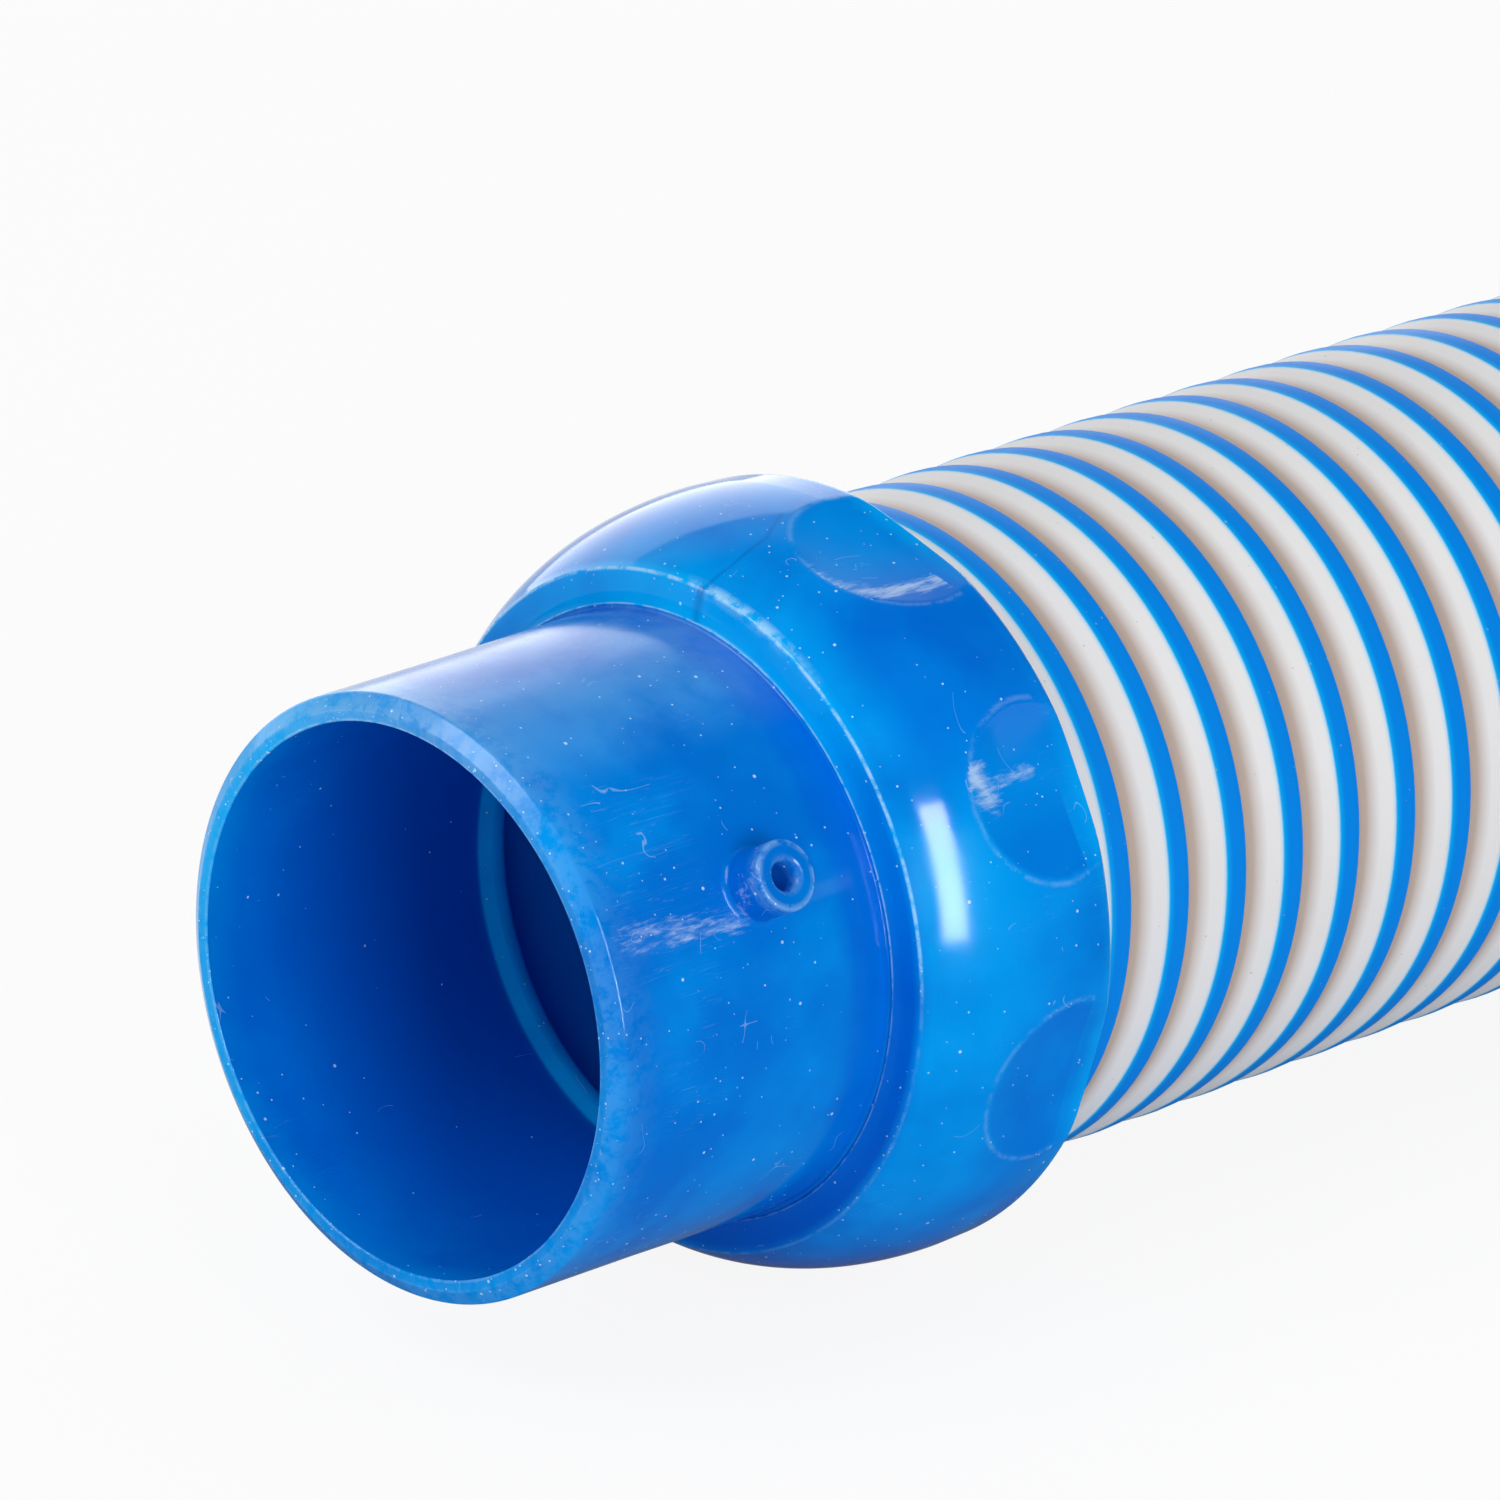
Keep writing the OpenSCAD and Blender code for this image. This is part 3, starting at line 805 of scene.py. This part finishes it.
    # A paler film on the spigot's top: settled dust and a painted sheen
    dust_and_sheen = np.clip((np.cos(np.radians(around)) - 0.80) / 0.20, 0, 1) * (radius < COLLAR_FROM)
    paint_masks(piece, "cuff_wear_and_painted_light", scuff_and_highlight, weld, np.where(inside, 0.0, dust_and_sheen))


male_x = -SECTION_LENGTH / 2
male_cuff = mesh_object("male_cuff_moulding", [(x + male_x, y, z + AXIS_HEIGHT) for x, y, z in points], faces)
cuff_marks_and_painted_light(male_cuff, points, mouth_bore_radius, SCUFFS_AND_HIGHLIGHTS, WELD_LINE)
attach(male_cuff, "root")
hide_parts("male_cuff")


def scratch_group():
    """Fine straight scratches in three slanting directions, in patches. Amount is how much."""
    tree, given, result = group_tree(
        "fine_scratches",
        [("Place", "NodeSocketVector", None), ("Amount", "NodeSocketFloat", 0.3)],
        [("Scratches", "NodeSocketFloat")],
    )
    place, amount = given.outputs[:2]
    total = None
    for turn, patches in ((0.5, 130.0), (-0.35, 90.0), (1.3, 110.0)):
        aim = tree.nodes.new("ShaderNodeMapping")
        aim.inputs["Rotation"].default_value = (turn, 0.4 * turn, turn)
        aim.inputs["Scale"].default_value = (1.0, 26.0, 26.0)
        tree.links.new(place, aim.inputs["Vector"])
        lines = noise(tree, aim.outputs[0], 190.0, 0.0)
        level = calc(tree, "ABSOLUTE", calc(tree, "SUBTRACT", lines, 0.5))
        thread = calc(tree, "MULTIPLY", calc(tree, "SUBTRACT", 0.012, level), 120.0, clamp=True)
        held = calc(tree, "ADD", noise(tree, place, patches, 2.0), calc(tree, "MULTIPLY", amount, 0.4))
        thread = calc(tree, "MULTIPLY", thread, span(tree, held, 0.62, 0.72))
        total = thread if total is None else calc(tree, "MAXIMUM", total, thread)
    tree.links.new(total, result.inputs[0])
    return tree


def read_masks(tree, name):
    """The three masks that a colour attribute holds, as sockets."""
    marks = tree.nodes.new("ShaderNodeAttribute")
    marks.attribute_name = name
    split = tree.nodes.new("ShaderNodeSeparateColor")
    tree.links.new(marks.outputs["Color"], split.inputs[0])
    return split.outputs[:3]


scratches = scratch_group()
cuff_material = bpy.data.materials.new("moulded_blue_plastic")
tree, links, plastic = shader(cuff_material)
solid_place = tree.nodes.new("ShaderNodeTexCoord").outputs["Object"]
painted_glow, rubbed_and_highlit, painted_shade = read_masks(tree, "cuff_marks_and_painted_light")
scuff_and_highlight, weld, dust_and_sheen = read_masks(tree, "cuff_wear_and_painted_light")
# The pale cyan blue is painted light and the dark blue of hollows painted shade; the rubbed, film and scuff
# colours are partly painted highlights and sheen
DEEP_BLUE = (0.0, 0.155, 0.63, 1.0)
BRIGHT_BLUE = (0.0, 0.255, 0.78, 1.0)
GLOW_BLUE = (0.0, 0.420, 0.93, 1.0)
SHADE_BLUE = (0.0, 0.110, 0.62, 1.0)
WELD_BLUE = (0.0, 0.09, 0.42, 1.0)
DUST_AND_SHEEN_COLOUR = (0.22, 0.42, 0.72, 1.0)
DUST_COLOUR = (0.60, 0.80, 0.95, 1.0)
RUBBED_AND_HIGHLIGHT_COLOUR = (0.34, 0.64, 0.92, 1.0)
SCUFF_AND_HIGHLIGHT_COLOUR = (0.45, 0.62, 0.86, 1.0)

# The plastic itself, cloudy; painted light brightens it where it is thin or lit, and painted shade darkens it
# in hollows and on shaded sides
fine_clouds = calc(tree, "MULTIPLY", noise(tree, solid_place, 260.0, 3.0, 0.6), 0.25)
clouds = calc(tree, "ADD", noise(tree, solid_place, 75.0, 3.0, 0.55), fine_clouds)
colour = blend_colour(tree, span(tree, clouds, 0.45, 0.80), DEEP_BLUE, BRIGHT_BLUE)
lit_through = calc(tree, "MULTIPLY", painted_glow, span(tree, clouds, 0.40, 0.75, 0.65, 1.0))
colour = blend_colour(tree, lit_through, colour, GLOW_BLUE)
colour = blend_colour(tree, painted_shade, colour, SHADE_BLUE)

# Rubbed edges and painted highlights, the weld line, settled dust and a painted sheen, scuffs that also stand
# in for highlights, scratches, and loose specks and fibres
patches = noise(tree, solid_place, 900.0, 4.0, 0.7)
wear_and_highlight = calc(tree, "MULTIPLY", rubbed_and_highlit, span(tree, patches, 0.36, 0.58))
colour = blend_colour(tree, calc(tree, "MULTIPLY", wear_and_highlight, 0.8), colour, RUBBED_AND_HIGHLIGHT_COLOUR)
colour = blend_colour(tree, calc(tree, "MULTIPLY", weld, 0.5), colour, WELD_BLUE)
dust_clouds = calc(tree, "ADD", clouds, calc(tree, "MULTIPLY", patches, 0.3))
settled_dust_and_sheen = calc(tree, "MULTIPLY", dust_and_sheen, span(tree, dust_clouds, 0.55, 0.95))
colour = blend_colour(tree, calc(tree, "MULTIPLY", settled_dust_and_sheen, 0.35), colour, DUST_AND_SHEEN_COLOUR)
aim = tree.nodes.new("ShaderNodeMapping")
aim.inputs["Rotation"].default_value = (0.5, 0.2, 0.9)
aim.inputs["Scale"].default_value = (1.0, 5.0, 5.0)
links.new(solid_place, aim.inputs["Vector"])
streaks = noise(tree, aim.outputs[0], 420.0, 5.0, 0.72)
feathered = calc(tree, "ADD", calc(tree, "MULTIPLY", scuff_and_highlight, 0.42), calc(tree, "MULTIPLY", streaks, 0.9))
scuffed_and_highlit = calc(tree, "MULTIPLY", span(tree, feathered, 0.58, 0.92), span(tree, scuff_and_highlight, 0.02, 0.35))
colour = blend_colour(tree, calc(tree, "MULTIPLY", scuffed_and_highlit, 0.8), colour, SCUFF_AND_HIGHLIGHT_COLOUR)
unshaded = calc(tree, "SUBTRACT", 1.0, painted_shade)
scratch = calc(tree, "MULTIPLY", use_group(tree, scratches, solid_place, 0.05)[0], unshaded)
colour = blend_colour(tree, calc(tree, "MULTIPLY", scratch, 0.05), colour, DUST_COLOUR)
dust_amount = calc(tree, "MULTIPLY_ADD", rubbed_and_highlit, 0.9, calc(tree, "MULTIPLY_ADD", unshaded, 0.12, 0.02))
specks, fibres = use_group(tree, dust, solid_place, dust_amount)[:2]
grime = calc(tree, "MAXIMUM", specks, calc(tree, "MULTIPLY", fibres, 0.3))
colour = blend_colour(tree, calc(tree, "MULTIPLY", grime, 0.7), colour, DUST_COLOUR)
links.new(colour, plastic.inputs["Base Color"])

# Glossy where it is clean, dull where it is worn or dusty and under the painted highlights and sheen, with a
# faint unevenness from the mould
gloss = span(tree, noise(tree, solid_place, 160.0, 4.0, 0.65), 0.35, 0.65, 0.07, 0.14)
dull = calc(tree, "MAXIMUM", wear_and_highlight, calc(tree, "MAXIMUM", grime, calc(tree, "MULTIPLY", scratch, 0.2)))
dull = calc(tree, "MAXIMUM", dull, calc(tree, "MAXIMUM", scuffed_and_highlit, calc(tree, "MULTIPLY", dust_and_sheen, 0.25)))
links.new(calc(tree, "MULTIPLY_ADD", dull, 0.35, gloss), plastic.inputs["Roughness"])
uneven = calc(tree, "MULTIPLY", noise(tree, solid_place, 420.0, 2.0), 0.35)
height = calc(tree, "ADD", uneven, calc(tree, "MULTIPLY", grime, 0.5))
height = calc(tree, "SUBTRACT", height, calc(tree, "MULTIPLY", scratch, 0.04))
bump = tree.nodes.new("ShaderNodeBump")
bump.inputs["Strength"].default_value = 0.3
bump.inputs["Distance"].default_value = 0.00003
links.new(height, bump.inputs["Height"])
links.new(bump.outputs[0], plastic.inputs["Normal"])
plastic.inputs["IOR"].default_value = 1.5
plastic.inputs["Specular IOR Level"].default_value = 0.08
male_cuff.data.materials.append(cuff_material)


# ---- Female cuff ----
# The same collar on the hose's other end, with a sleeve in place of the spigot. Two L-shaped slots
# run through the sleeve's wall for the next section's lugs, and end in pockets.
SOCKET_RADIUS = 0.01925
SLEEVE_RADIUS = 0.02145
SLOT_WIDTH = 0.005
LOCK_TURN = math.radians(24)
SLOT_ANGLE = math.radians(90)
POCKET_STEP = 0.0004
SLOT_CHAMFER = 0.0004
SLOT_BEND = 0.0012

socket_end = SPIGOT_LENGTH + 0.00025
leg_x = SPIGOT_LENGTH - LUG_X
sleeve_outline = line((socket_end - 0.0002, SOCKET_RADIUS), (0.0012, SOCKET_RADIUS), 40) + rounded(
    [
        (0.0011, SOCKET_RADIUS, 0),
        (0.0, SOCKET_RADIUS, 0.0006),
        (0.0, SLEEVE_RADIUS, 0.0006),
        (0.0011, SLEEVE_RADIUS, 0),
    ]
)
sleeve_outline += line((0.0012, SLEEVE_RADIUS), (SPIGOT_LENGTH - 0.0006, SLEEVE_RADIUS), 40)
sections = [
    (sleeve_outline, COARSE),
    (collar_outline(SPIGOT_LENGTH - 0.0005, SLEEVE_RADIUS), FINE),
    (collar_inside() + [(socket_end + 0.0002, THROAT_RADIUS), (socket_end, THROAT_RADIUS + 0.0002)], COARSE),
]
points, faces, rings = revolve(sections, SLOT_ANGLE)
female_x = SECTION_LENGTH / 2
points = [(female_x - x, y, z + AXIS_HEIGHT) for x, y, z in points]
female_cuff = mesh_object("female_cuff_moulding", points, [face[::-1] for face in faces])


def slot_cutter(slot_angle):
    """An L-shaped block through the sleeve's wall: in from the mouth, round, and into a pocket."""
    half, arc_radius = SLOT_WIDTH / 2, (SOCKET_RADIUS + SLEEVE_RADIUS) / 2
    end = LOCK_TURN * arc_radius
    pocket = leg_x - POCKET_STEP
    outline = [(-0.001, -half), (leg_x - half - SLOT_CHAMFER, -half), (leg_x - half, -half - SLOT_CHAMFER)]
    outline += [(leg_x - half, v) for v in np.linspace(-half - 0.001, -end + 0.0016, 6)]
    outline += [
        (pocket + half * math.cos(t), -end + half * math.sin(t))
        for t in np.radians(np.linspace(150, 390, 25))
    ]
    outline += [(leg_x + half, v) for v in np.linspace(-end + 0.0022, half - SLOT_BEND, 8)]
    outline += [
        (leg_x + half - SLOT_BEND * (1 - math.cos(t)), half - SLOT_BEND * (1 - math.sin(t)))
        for t in np.radians(np.linspace(15, 90, 6))
    ]
    outline += [(-0.001, half)]
    cutter_points = []
    for radius in (SOCKET_RADIUS - 0.0015, SLEEVE_RADIUS + 0.0025):
        for x, v in outline:
            turn = slot_angle + v / arc_radius
            y, z = -radius * math.sin(turn), radius * math.cos(turn)
            cutter_points.append((female_x - x, y, z + AXIS_HEIGHT))
    # The block's faces look outwards, or the cut takes nothing away
    count = len(outline)
    cutter_faces = [tuple(range(count - 1, -1, -1)), tuple(range(count, 2 * count))]
    cutter_faces += [(i, (i + 1) % count, (i + 1) % count + count, i + count) for i in range(count)]
    return mesh_object("slot_cutter", cutter_points, cutter_faces, smooth=False)


for slot_angle in (SLOT_ANGLE, SLOT_ANGLE + math.pi):
    cutter = slot_cutter(slot_angle)
    cut = female_cuff.modifiers.new("slot", "BOOLEAN")
    cut.operation = "DIFFERENCE"
    cut.solver = "EXACT"
    cut.object = cutter
    bpy.context.view_layer.update()
    worked_out = bpy.context.evaluated_depsgraph_get()
    with_slot = bpy.data.meshes.new_from_object(female_cuff.evaluated_get(worked_out))
    female_cuff.modifiers.remove(cut)
    female_cuff.data = with_slot
    bpy.data.objects.remove(cutter)
female_cuff.data.name = "female_cuff_moulding"
female_cuff.data.set_sharp_from_angle(angle=math.radians(40))
cut_points = [(female_x - v.co.x, v.co.y, v.co.z - AXIS_HEIGHT) for v in female_cuff.data.vertices]
cuff_marks_and_painted_light(female_cuff, cut_points, SOCKET_RADIUS, [], [])
female_cuff.data.materials.clear()
female_cuff.data.materials.append(cuff_material)
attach(female_cuff, "root")
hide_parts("female_cuff")


# ---- Ground and light ----
# A plain white ground that keeps the shadow, an even white room, and six soft panels. Two give the
# light and its shadows, from the side and from the front. Four only show as gloss on the plastic.
LIGHT_TARGET = Vector((-0.475, 0.0, AXIS_HEIGHT))
ROOM_LIGHT = 0.58
BACKDROP_SIDE = math.radians(62)
GROUND_WHITE = 0.9
GROUND_SHADE = 0.88


def light_panel(name, towards, distance, size, strength, kind):
    """A soft panel that faces the male cuff, at an azimuth and elevation in degrees. Its kind is
    the one that its light has: diffuse, for light and shadow, or glossy, for shine only."""
    azimuth, elevation = (math.radians(v) for v in towards)
    flat = math.cos(elevation)
    direction = Vector((flat * math.cos(azimuth), flat * math.sin(azimuth), math.sin(elevation)))
    data = bpy.data.lights.new(name, "AREA")
    data.shape = "RECTANGLE"
    data.size, data.size_y = size
    data.energy = strength * math.pi * size[0] * size[1]
    panel = bpy.data.objects.new(name, data)
    panel.location = LIGHT_TARGET + direction * distance
    panel.rotation_euler = direction.to_track_quat("Z", "Y").to_euler()
    panel.visible_camera = False
    panel.visible_diffuse = kind == "diffuse"
    panel.visible_glossy = kind == "glossy"
    scene.collection.objects.link(panel)


light_panel("key_panel", (-109.0, 12.0), 1.2, (0.42, 0.5), 8.0, "diffuse")
light_panel("front_panel", (165.0, 45.0), 1.3, (0.7, 0.7), 3.0, "diffuse")
light_panel("side_gloss", (-97.3, 13.5), 0.33, (0.070, 0.222), 85.0, "glossy")
light_panel("back_gloss", (62.0, 16.0), 1.3, (2.0, 0.95), 2.5, "glossy")
light_panel("camera_side_gloss", (-48.0, 13.5), 1.2, (0.2, 0.08), 2.0, "glossy")
light_panel("front_gloss", (160.0, 48.0), 1.3, (0.8, 0.8), 20.0, "glossy")

world = bpy.data.worlds.new("white_room")
scene.world = world
world.use_nodes = True
room = world.node_tree
background = room.nodes["Background"]
background.inputs["Color"].default_value = (1.0, 1.0, 1.0, 1.0)
paths = room.nodes.new("ShaderNodeLightPath")
seen = calc(room, "MAXIMUM", paths.outputs["Is Camera Ray"], paths.outputs["Is Transmission Ray"])
# Glossy surfaces see the white backdrop where it hangs, behind the hose
aim = room.nodes.new("ShaderNodeTexCoord")
facing = room.nodes.new("ShaderNodeVectorMath")
facing.operation = "DOT_PRODUCT"
facing.inputs[1].default_value = (math.cos(BACKDROP_SIDE), math.sin(BACKDROP_SIDE), 0.1)
room.links.new(aim.outputs["Generated"], facing.inputs[0])
backdrop = span(room, facing.outputs["Value"], 0.62, 0.80)
seen = calc(room, "MAXIMUM", seen, calc(room, "MULTIPLY", paths.outputs["Is Glossy Ray"], backdrop))
other = calc(room, "SUBTRACT", 1.0, paths.outputs["Is Glossy Ray"])
lit = calc(room, "MULTIPLY", other, ROOM_LIGHT)
room.links.new(calc(room, "MAXIMUM", seen, lit), background.inputs["Strength"])

ground_mesh = bpy.data.meshes.new("ground")
ground_mesh.from_pydata([(-6, -6, 0), (6, -6, 0), (6, 6, 0), (-6, 6, 0)], [], [(0, 1, 2, 3)])
ground = bpy.data.objects.new("ground", ground_mesh)
scene.collection.objects.link(ground)
ground_material = bpy.data.materials.new("white_ground")
tree, links, paint = shader(ground_material)
paint.inputs["Base Color"].default_value = (0.88, 0.88, 0.88, 1.0)
paint.inputs["Roughness"].default_value = 0.9
paint.inputs["Specular IOR Level"].default_value = 0.0
glow = tree.nodes.new("ShaderNodeEmission")
paths = tree.nodes.new("ShaderNodeLightPath")
glossy = paths.outputs["Is Glossy Ray"]
seen = calc(tree, "MAXIMUM", paths.outputs["Is Camera Ray"], paths.outputs["Is Transmission Ray"])
amount = calc(tree, "MAXIMUM", calc(tree, "MULTIPLY", seen, GROUND_WHITE), glossy)
# Gloss sees the white ground behind the object, and the shaded ground in front of it
spot = tree.nodes.new("ShaderNodeSeparateXYZ")
links.new(tree.nodes.new("ShaderNodeNewGeometry").outputs["Position"], spot.inputs[0])
in_front = span(tree, spot.outputs[1], 0.07, 0.02)
shaded = calc(tree, "MULTIPLY", glossy, in_front)
links.new(calc(tree, "MULTIPLY_ADD", shaded, -GROUND_SHADE, 1.0), glow.inputs["Strength"])
mix = tree.nodes.new("ShaderNodeMixShader")
links.new(amount, mix.inputs[0])
links.new(paint.outputs[0], mix.inputs[1])
links.new(glow.outputs[0], mix.inputs[2])
links.new(mix.outputs[0], tree.nodes["Material Output"].inputs["Surface"])
ground_mesh.materials.append(ground_material)

scene.view_settings.view_transform = "Standard"
